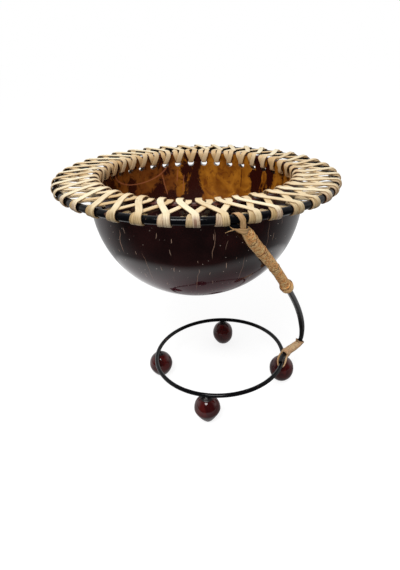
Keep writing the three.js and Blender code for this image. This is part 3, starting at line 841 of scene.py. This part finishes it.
def loop_stations(second):
    """Radius, height and turn of the places that one loop of strip passes, in order."""
    lift = LAYER if second else 0
    off = TOUCH + lift
    hole_z = HOLE_Z + HOLE_PLACES[second]
    bend, clear, hop = 0.6, 1, PITCH / 2
    stations = [(inner_radius(hole_z) - off + bend, hole_z, -hop),
                (outer_radius(hole_z) + clear, hole_z, -hop)]
    for angle in range(TURN_START, TURN_END + 1, TURN_STEP):
        share = (angle - TURN_START) / (TURN_END - TURN_START)
        radius = TURN_RADIUS + lift * share
        stations.append((BRIM_RADIUS + radius * math.cos(math.radians(angle)),
                         radius * math.sin(math.radians(angle)), TURN_DRIFT * share ** 2 - TURN_OFFSET))
    top = RIM_TOP + off
    stations += [
        (outer_radius(RIM_TOP) + bend / 3, top + RIM_EASE, hop + RIM_SWING),
        (inner_radius(RIM_TOP) + bend - lift, top + RIM_EASE, hop + RIM_SWING),
        (inner_radius(RIM_TOP - clear) - off - RIM_EASE, RIM_TOP + (lift - clear) * 0.4,
         hop + RIM_SWING * 0.9),
        (inner_radius(hole_z) - off, hole_z + bend, hop),
    ]
    return stations


print("stations in a loop:", len(loop_stations(False)))


# %% Smooth lines
def curve_through(points, steps):
    """Smooth line through points, which doesn't overshoot where they are close together."""
    line = [2 * points[0] - points[1]] + points + [2 * points[-1] - points[-2]]
    made = []
    for a, b, c, d in zip(line, line[1:], line[2:], line[3:]):
        gaps = [max((q - p).length ** 0.5, 1e-4) for p, q in ((a, b), (b, c), (c, d))]
        leave = ((b - a) / gaps[0] - (c - a) / (gaps[0] + gaps[1]) + (c - b) / gaps[1]) * gaps[1]
        reach = ((c - b) / gaps[1] - (d - b) / (gaps[1] + gaps[2]) + (d - c) / gaps[2]) * gaps[1]
        for i in range(steps):
            t = i / steps
            made.append(b + leave * t + (3 * (c - b) - 2 * leave - reach) * t ** 2
                        + (2 * (b - c) + leave + reach) * t ** 3)
    return made + [points[-1]]


print("a line of 3 points in 4 steps:", len(curve_through([polar(1, i) for i in range(3)], 4)), "points")

# %% Lacing
HOOP_SWAY, RIM_SWAY, WIDTH_SHARES = 0.1, 0.4, (0.93, 1.06)
LACING_STEPS = 4


def lacing(name, second, length, node, material, seed):
    """One length of strip, with each run a little out of true."""
    chance = random.Random(seed)
    way = -1 if second else 1
    stations = loop_stations(second)
    path, widths, tones = [], [], []
    for loop in range(LOOPS):
        at_hoop, at_rim = chance.gauss(0, HOOP_SWAY), chance.gauss(0, RIM_SWAY)
        at_hoop += SHIFTED_TURNS.get((second, length * LOOPS + loop), 0)
        width, tone = chance.uniform(*WIDTH_SHARES), chance.random()
        for i, (radius, z, turn) in enumerate(stations):
            if 2 <= i < len(stations) - 4:
                turn += at_hoop
            elif i in (len(stations) - 4, len(stations) - 3):
                turn += at_rim
            angle = way * ((length * LOOPS + loop) * PITCH + turn)
            path.append(polar(radius, angle, z))
            widths.append(width)
            tones.append(tone)
    points = curve_through(path, LACING_STEPS)
    last = len(path) - 1
    spread = [min(i / LACING_STEPS, last) for i in range(len(points))]
    mixed = [[values[int(at)] + (at - int(at)) * (values[min(int(at) + 1, last)] - values[int(at)])
              for at in spread] for values in (widths, tones)]
    faces = []
    for i, point in enumerate(points):
        run = (points[min(i + 1, len(points) - 1)] - points[max(i - 1, 0)]).normalized()
        radial = Vector((point.x, point.y, 0)).normalized()
        facing = radial * run.z - Vector((0, 0, run.dot(radial)))
        faces.append(run.cross(facing).normalized().cross(run).normalized())
    turn = brim_frame.to_3x3()
    piece = swept(name, [brim_frame @ p for p in points], [turn @ f for f in faces],
                  STRIP_WIDTH, STRIP_THICK, material, squareness=0.5, sides=14,
                  sizes=mixed[0], tone=mixed[1])
    return on_root(piece, "rattan_strip", node)


for length in range(2):
    for side, order, second, material, seed in (("under", "first", False, under_material, 11),
                                                ("over", "second", True, over_material, 21)):
        lacing(f"rattan_{side}_{length + 1}", second, length, f"lacing_{order}_pass_{length + 1}",
               material, seed + length)

# %% [markdown]
# ## The arm
# The arm is one squarish iron bar bent in two directions. A plain bevelled curve could roll it on the
# way, so it gets its own frames: each is the last one turned just as much as the bar bends, which
# keeps the same side outward. The route is measured from the base hoop's middle.

# %% Middle line of the arm
ARM_ROUTE = [(9.6, -82, 130.1), (14.4, -80.6, 129.6), (19.3, -72.7, 120.2), (25.1, -62.6, 109.5),
             (32.1, -50.6, 96.4), (38.7, -39.2, 82.9), (44.8, -28.8, 69.6), (52.1, -16.2, 52.8),
             (57.4, -7, 38.3), (60.6, -1.6, 26.5), (61.9, 0.4, 17), (61.4, 0.1, 10.5), (59.6, -1.1, 6.9),
             (56, -3.3, 5.5), (51.8, -5.9, 4.4), (46.9, -10.6, 3.4), (43.4, -19.4, 3.4)]
ARM_WIDTH, ARM_THICK, ARM_TAIL = 3.6, 3.3, 0.7
ARM_THINNING, ARM_STEPS = (143, 166), 60

arm_line = curve_through([BASE_CENTRE + Vector(place) for place in ARM_ROUTE], ARM_STEPS)
arm_reach = [0.0]
for first, second in zip(arm_line, arm_line[1:]):
    arm_reach.append(arm_reach[-1] + (second - first).length)
ARM_LENGTH = arm_reach[-1]


def arm_point(distance):
    """Place on the arm's middle line at a distance from its tip."""
    i = max(1, next((k for k, reach in enumerate(arm_reach) if reach >= distance), len(arm_reach) - 1))
    share = (distance - arm_reach[i - 1]) / (arm_reach[i] - arm_reach[i - 1])
    return arm_line[i - 1].lerp(arm_line[i], share)


print("arm:", round(ARM_LENGTH, 1), "mm long")

# %% Frames along the arm
FRAME_STEP, LOOK = 0.5, 0.1
arm_frames = []
heading = (arm_point(LOOK) - arm_point(0)).normalized()
axes = [Vector((1, 0, 0)), Vector((0, 1, 0)), Vector((0, 0, 1))]
least_axis = min(range(3), key=lambda k: (abs(heading[k]), -k))
outward = heading.cross(heading.cross(axes[least_axis]).normalized())
for step in range(int(ARM_LENGTH / FRAME_STEP) + 1):
    distance = step * FRAME_STEP
    beyond, behind = arm_point(min(distance + LOOK, ARM_LENGTH)), arm_point(max(distance - LOOK, 0))
    new_heading = (beyond - behind).normalized()
    outward = heading.rotation_difference(new_heading) @ outward
    heading = new_heading
    arm_frames.append((arm_point(distance), heading.copy(), outward.copy()))


def along_arm(distance, sideways=0.0, height=0.0):
    """Place beside the arm: sideways across it, height out from the bowl."""
    at, ahead_here, out = arm_frames[round(min(max(distance, 0), ARM_LENGTH - FRAME_STEP) / FRAME_STEP)]
    at = arm_point(max(distance, 0)) + ahead_here * min(distance, 0)
    return at + ahead_here.cross(out) * sideways + out * height


def thinning(distance):
    """The bar's size at a distance from its tip, as a share of the whole."""
    share = min(max((distance - ARM_THINNING[0]) / (ARM_THINNING[1] - ARM_THINNING[0]), 0), 1)
    return 1 + (ARM_TAIL - 1) * share * share * (3 - 2 * share)


print("frames:", len(arm_frames))

# %% Arm
# The tip is bent up against the hoop, and joins the measured line a little further on.
TIP_ROUTE = [(6.4, -82.6, 131.9), (10.4, -82.2, 131.5), (14.2, -80.6, 130.2)]
TIP_JOIN, TIP_STEPS = round(9 / FRAME_STEP), 6
joined = [arm_frames[TIP_JOIN + i][0] for i in (0, 2)]
tip = curve_through([BASE_CENTRE + Vector(place) for place in TIP_ROUTE] + joined, TIP_STEPS)
tip = tip[:-TIP_STEPS]
bar_places = tip[:-1] + [at for at, _, _ in arm_frames[TIP_JOIN:]]
bar_faces = [out for _, _, out in arm_frames[TIP_JOIN:]]
heading = arm_frames[TIP_JOIN][1]
for first, second in reversed(list(zip(tip, tip[1:]))):
    new_heading = (second - first).normalized()
    bar_faces.insert(0, heading.rotation_difference(new_heading) @ bar_faces[0])
    heading = new_heading
bar_sizes = [1.0] * (len(tip) - 1) + [thinning(i * FRAME_STEP) for i in range(TIP_JOIN, len(arm_frames))]
bar = swept("arm_bar", bar_places, bar_faces, ARM_WIDTH, ARM_THICK, iron_material, squareness=0.42,
            sides=32, sizes=bar_sizes)
on_root(bar, "black_iron", "arm")

# %% [markdown]
# ## The bark bindings
# The upper arm and the foot are bound with bark in overlapping bands. A band's edge is a small step,
# a little askew and wavy, with painted shade as a dark line under it. Displacing a tube by a texture
# would blur those steps, so the radius is a function of the distance along and the angle round, on a
# fine net.

# %% Profiles and tubes
def between(profile, at):
    """Value at a distance, from a list of (distance, value), smooth between them."""
    if at <= profile[0][0]:
        return profile[0][1]
    for (first, low), (second, high) in zip(profile, profile[1:]):
        if at <= second:
            share = (at - first) / (second - first)
            return low + (high - low) * share * share * (3 - 2 * share)
    return profile[-1][1]


def tube(name, points, seam_values, sides):
    """Closed piece over rings of points, the last ring joined to the first."""
    rings = len(points) // sides
    quads = []
    for i in range(rings):
        for j in range(sides):
            k, after = (j + 1) % sides, (i + 1) % rings
            quads.append((i * sides + j, i * sides + k, after * sides + k, after * sides + j))
    piece = mesh_piece(name, points, quads, bark_material, {"seam": seam_values})
    volume = sum(points[a].dot(points[b].cross(points[c])) + points[a].dot(points[c].cross(points[d]))
                 for a, b, c, d in quads)
    if volume < 0:
        piece.data.flip_normals()
    return piece


print("half way from a radius of 2 to one of 3 is", between([(0, 2), (1, 3)], 0.5))

# %% Lapped bands
# A ridge lies at a share of the way round, and its half width is in sides. The step at a band's edge
# fades away from it, with a groove before it. Marks are what the finish reads.
RIDGE_SIDE, RIDGE_HALF, RIDGE_HEIGHT = 0.27, 1.6, 0.14
STEP_FADE, GROOVE_WIDTH, GROOVE_DEPTH = 5, 0.5, 0.1
WAVER, WAVER_GRAIN, LUMP_GRAIN = 0.25, 2, (1.3, 0.22)
MARK_REACH, MARK_SPLIT = 0.7, 0.05
# The gap mark puts painted shade in the groove under a band's edge, and the bore mark painted shade in the
# tube's mouth; the rim and ridge marks make a band's edge paler.
GAP_SHADE_MARK, RIM_MARK, RIDGE_MARK, BORE_SHADE_MARK = 1.0, -0.7, -1.0, 0.8
BINDING_SIDES, RING_SPACING = 48, 0.25


def binding(name, profile, bore, seams, seed, lumps, ridge=(0, 0), nodes=()):
    """Tube of lapped bands round the arm. Profile and bore are lists of (distance, radius), and seams
    of (distance, step, slant, phase). Ridge is the stretch whose left edge is raised and painted paler."""
    sides = BINDING_SIDES
    start, end = profile[0][0], profile[-1][0]
    rings = int((end - start) / RING_SPACING)
    points, seam_values = [], []
    for i in range(rings + 1):
        distance = start + (end - start) * i / rings
        for j in range(sides):
            angle = 2 * math.pi * j / sides
            reach, mark = between(profile, distance), 0.0
            here = Vector((math.cos(angle), math.sin(angle), 0))
            if ridge[0] < distance < ridge[1] and abs(j - sides * RIDGE_SIDE) < RIDGE_HALF:
                reach, mark = reach + RIDGE_HEIGHT, RIDGE_MARK
            for seam, step, slant, phase in seams:
                waver = WAVER * noise.noise(here * WAVER_GRAIN + Vector((0, 0, seam)))
                past = distance - seam - slant * math.sin(angle + phase) - waver
                if past > 0:
                    reach += step * math.exp(-past / STEP_FADE)
                elif past > -GROOVE_WIDTH:
                    reach -= GROOVE_DEPTH
                if -MARK_REACH < past < MARK_SPLIT:
                    mark = GAP_SHADE_MARK
                elif MARK_SPLIT <= past < MARK_REACH:
                    mark = RIM_MARK
            wave = noise.noise(Vector((here.x * LUMP_GRAIN[0], here.y * LUMP_GRAIN[0],
                                       distance * LUMP_GRAIN[1] + seed)))
            reach += lumps * wave * min(1, reach)
            points.append(along_arm(distance, reach * here.x, reach * here.y))
            seam_values.append(mark)
    for i in range(rings, -1, -1):
        distance = start + (end - start) * i / rings
        for j in range(sides):
            angle = 2 * math.pi * j / sides
            reach = between(bore, distance)
            points.append(along_arm(distance, reach * math.cos(angle), reach * math.sin(angle)))
            seam_values.append(BORE_SHADE_MARK)
    return on_root(tube(name, points, seam_values, sides), "bark_strip", *nodes)


print("a binding has", BINDING_SIDES, "sides, and a ring every", RING_SPACING, "mm")

# %% Bindings
binding("arm_bark", [(6.2, 2.3), (7, 2.5), (12, 3.0), (57, 3.05), (60, 2.95), (85.2, 3.15)], [(6.2, 2.1)],
        [(17.4, 0.3, 0.8, 0.3), (32, 0.3, 0.9, 1.1), (58, 0.35, 0.7, 2.0)],
        3, 0.14, (6, 45), ["arm_binding"])
binding("arm_bark_collar",
        [(83.5, 2.6), (83.9, 3.5), (85.6, 3.7), (87.4, 4.0), (90.4, 3.95), (91.3, 3.5), (91.6, 2.6)],
        [(83.5, 2.3)], [(86.2, 0.3, 1.1, 0.8)], 8, 0.4, nodes=["arm_binding_collar"])
binding("foot_bark", [(162.2, 3.3), (164.4, 2.7), (168, 2.7), (173, 2.9), (177, 2.7)],
        [(162.2, 3.0), (164.8, 1.6)], [], 5, 0.4, nodes=["foot_binding"])
binding("foot_knot", [(175, 2.5), (176, 3.2), (177.4, 3.5), (178.8, 3.3), (179.4, 2.2)], [(175, 1.6)],
        [], 6, 0.4)

# %% [markdown]
# ## Straps and strands
# The brim hoop hangs on the arm's tip in a bark strap, a thin strip ties the two together, and a
# strand ties the arm's tail to the base hoop. Cloth simulation could lay them, but stiff bark keeps
# the bends it was given, so they are swept like the lacing, along paths round what they hold.

# %% Strap
STRAP_ANGLE, STRAP_DROP, STRAP_STEPS = -75.8, 3.9, 20
STRAP_WIDTH, STRAP_THICK, STRAP_SLIDE = 2.9, 0.6, (0.45, 1.15, -1.05)


def strap_loop():
    """Path of the strap round the hoop and the arm's tip below it, and the way it faces."""
    reach = BRIM_BAR + TOUCH
    places, facings = [], []
    hub = polar(BRIM_RADIUS, STRAP_ANGLE)
    out, tangent = polar(1, STRAP_ANGLE), polar(1, STRAP_ANGLE + 90)
    for i in range(2 * STRAP_STEPS):
        angle = math.pi * i / STRAP_STEPS
        centre = hub if i <= STRAP_STEPS else hub - Vector((0, 0, STRAP_DROP))
        ray = out * math.cos(angle) + Vector((0, 0, math.sin(angle)))
        shift = STRAP_SLIDE[0] + STRAP_SLIDE[1] * math.cos(angle) + STRAP_SLIDE[2] * math.sin(angle)
        slide = tangent * shift
        places.append(brim_frame @ (centre + ray * reach + slide))
        facings.append(brim_frame.to_3x3() @ ray)
    return places, facings


places, facings = strap_loop()
strap = swept("hanging_strap", places, facings, STRAP_WIDTH, STRAP_THICK, strap_material,
              squareness=0.5, sides=16, closed=True)
on_root(strap, "bark_strip", "brim_strap")


# %% Tie and stray ends
# Places are a radius, an angle and a height in the brim's frame, and shares are of the full size.
TIE_STEPS = 6


def on_brim(name, route, width, thickness, shares):
    """Strip over places on the brim, facing out from it."""
    places = curve_through([polar(*place) for place in route], TIE_STEPS)
    sizes = [between(list(enumerate(shares)), i / TIE_STEPS) for i in range(len(places))]
    facings = [brim_frame.to_3x3() @ Vector((place.x, place.y, 0)).normalized() for place in places]
    piece = swept(name, [brim_frame @ place for place in places], facings, width, thickness,
                  strap_material, squareness=0.6, sides=14, sizes=sizes)
    on_root(piece, "bark_strip")


on_brim("tie_strip", [(87.4, -78.1, -3.4), (87.4, -77.1, -3.9), (87.4, -75.8, -4.7), (87.4, -74.6, -5.3),
                      (87.2, -73.6, -5.4), (86.3, -72.8, -5.6), (84.9, -72.4, -6.0)],
        2.8, 0.5, [0.12, 0.35, 0.8, 1, 1, 1, 0.9])
on_brim("stray_end_upper", [(87.5, -77.6, -3.7), (87.6, -78.4, -3.0), (87.8, -79.2, -1.75)],
        0.7, 0.3, [1, 0.7, 0.25])
on_brim("stray_end_lower", [(87.5, -77.6, -3.8), (87.7, -79, -4.2), (87.7, -80.5, -5.0)],
        0.6, 0.3, [1, 0.7, 0.3])

# %% Strand at the foot
# Places are along the arm, across it and out from it. The strand goes down one side and up the other.
STRAND_SIDE = [(177.6, 2.5, 0), (181.6, 2.7, -0.7), (184.8, 2.7, -2.7), (186.6, 1.9, -5.1)]
STRAND_END, STRAND_MIDDLE = (187.2, 0, -6.1), (183.6, 0, -1)
strand_route = [(at, -side, out) for at, side, out in STRAND_SIDE] + [STRAND_END] + STRAND_SIDE[::-1]
strand = curve_through([along_arm(*place) for place in strand_route], TIE_STEPS)
strand_middle = along_arm(*STRAND_MIDDLE)
strand_faces = [(point - strand_middle).normalized() for point in strand]
strand_sizes = [0.7 + 0.3 * abs(2 * i / (len(strand) - 1) - 1) for i in range(len(strand))]
tail = swept("tail_strand", strand, strand_faces, 1.9, 1.6, split_material, squareness=0.8,
             sides=14, sizes=strand_sizes)
on_root(tail, "bark_strip", "foot_strap")

# %% [markdown]
# ## Seeds and glue
# Each foot is a polished seed on a pin, stuck under the hoop with black glue. A stretched sphere would
# have no worn flat and no shoulder, so a seed is turned from an outline and then pushed out of round
# by soft noise. The glue runs over its shoulders unevenly.

# %% Turned pieces
# Feet: angle on the base hoop in degrees, radius, radius of the glue, and roundness of the belly.
FEET = [(85, 8.4, 3.2, 2.0), (171.5, 8.8, 3.4, 1.7), (257.6, 9.0, 4.4, 1.2), (353.3, 8.9, 3.4, 2.0)]
FOOT_HEIGHT, FOOT_BELLY, FOOT_FLAT, FOOT_INSET = 19.3, 10, 2.6, 0.7


def turned_piece(name, outline, centre, dent, seed, material, segments=64):
    """Closed round piece from an outline of radius and height, from pole to pole, pushed out of round."""
    rows = outline[1:-1]
    points = [Vector((0, 0, outline[0][1]))]
    for radius, z in rows:
        for j in range(segments):
            angle = 2 * math.pi * j / segments
            spot = Vector((math.cos(angle) * radius, math.sin(angle) * radius, z))
            points.append(spot + Vector((spot.x, spot.y, 0)) / max(radius, 0.1) * dent(spot, seed))
    points.append(Vector((0, 0, outline[-1][1])))
    last = len(points) - 1
    faces = []
    for j in range(segments):
        k = (j + 1) % segments
        faces.append((0, 1 + k, 1 + j))
        faces.append((last, last - segments + j, last - segments + k))
        for i in range(len(rows) - 1):
            a = 1 + i * segments
            faces.append((a + j, a + k, a + segments + k, a + segments + j))
    return mesh_piece(name, [centre + point for point in points], faces, material)


print("feet:", len(FEET))

# %% Outlines and dents of seed and glue
SEED_DENT, SEED_GRAIN, GLUE_DENT, GLUE_GRAIN = 0.22, 0.16, 0.45, 0.45


def seed_dent(spot, seed):
    """Soft dents, none at the flat and the top."""
    fade = min(1, spot.z / 3) * min(1, (FOOT_HEIGHT - spot.z) / 3)
    return SEED_DENT * noise.noise(spot * SEED_GRAIN + Vector((seed, 0, 0))) * max(fade, 0)


def glue_dent(spot, seed):
    """Lumps all over."""
    return GLUE_DENT * noise.noise(spot * GLUE_GRAIN + Vector((seed, 3, 0)))


def seed_outline(radius, glue, roundness, steps=18):
    """Radius and height from the worn flat, over the belly, to the ring where the glue starts."""
    power = 2 / roundness
    lowest = math.acos((FOOT_FLAT / radius) ** (1 / power))
    highest = math.acos(glue / radius)
    outline = [(0, 0.0), (FOOT_FLAT * 0.6, 0.02)]
    for i in range(steps):
        angle = lowest * (1 - i / steps)
        drop = (math.sin(angle) / math.sin(lowest)) ** power
        outline.append((radius * math.cos(angle) ** power, FOOT_BELLY * (1 - drop)))
    for i in range(steps + 1):
        angle = highest * i / steps
        rise_share = math.sin(angle) / math.sin(highest)
        outline.append((radius * math.cos(angle), FOOT_BELLY + (FOOT_HEIGHT - FOOT_BELLY) * rise_share))
    outline.append((0, FOOT_HEIGHT))
    return outline


def glue_outline(glue):
    """Radius and height from inside the seed up into the hoop."""
    low, high = FOOT_HEIGHT - 0.8, BASE_CENTRE.z - 0.5
    return [(0, low), (glue * 0.9, low), (glue * 1.02, low + 0.4), (glue, low + 0.9),
            (glue * 0.85, low + 1.4), (glue * 0.55, low + 1.9), (min(glue * 0.4, 1.6), high - 0.5), (0, high)]


print("points up a seed:", len(seed_outline(*FEET[0][1:])), "and up its glue:", len(glue_outline(3)))

# %% Seeds and glue
for i, (angle, radius, glue, roundness) in enumerate(FEET, start=1):
    spot = Vector((BASE_CENTRE.x, 0, 0)) + polar(BASE_RADIUS - FOOT_INSET, angle)
    seed = turned_piece(f"seed_{i}", seed_outline(radius, glue, roundness), spot, seed_dent, i, seed_material)
    on_root(seed, "seed", f"seed_foot_{i}")
    lump = turned_piece(f"glue_{i}", glue_outline(glue), spot, glue_dent, i, glue_material, segments=48)
    on_root(lump, "black_glue", f"foot_pin_{i}")

# %% [markdown]
# ## Finish
# The dressed object has to keep the size of the packed one. This last cell only sets the view transform.

# %% View transform
bpy.context.scene.view_settings.view_transform = "Standard"
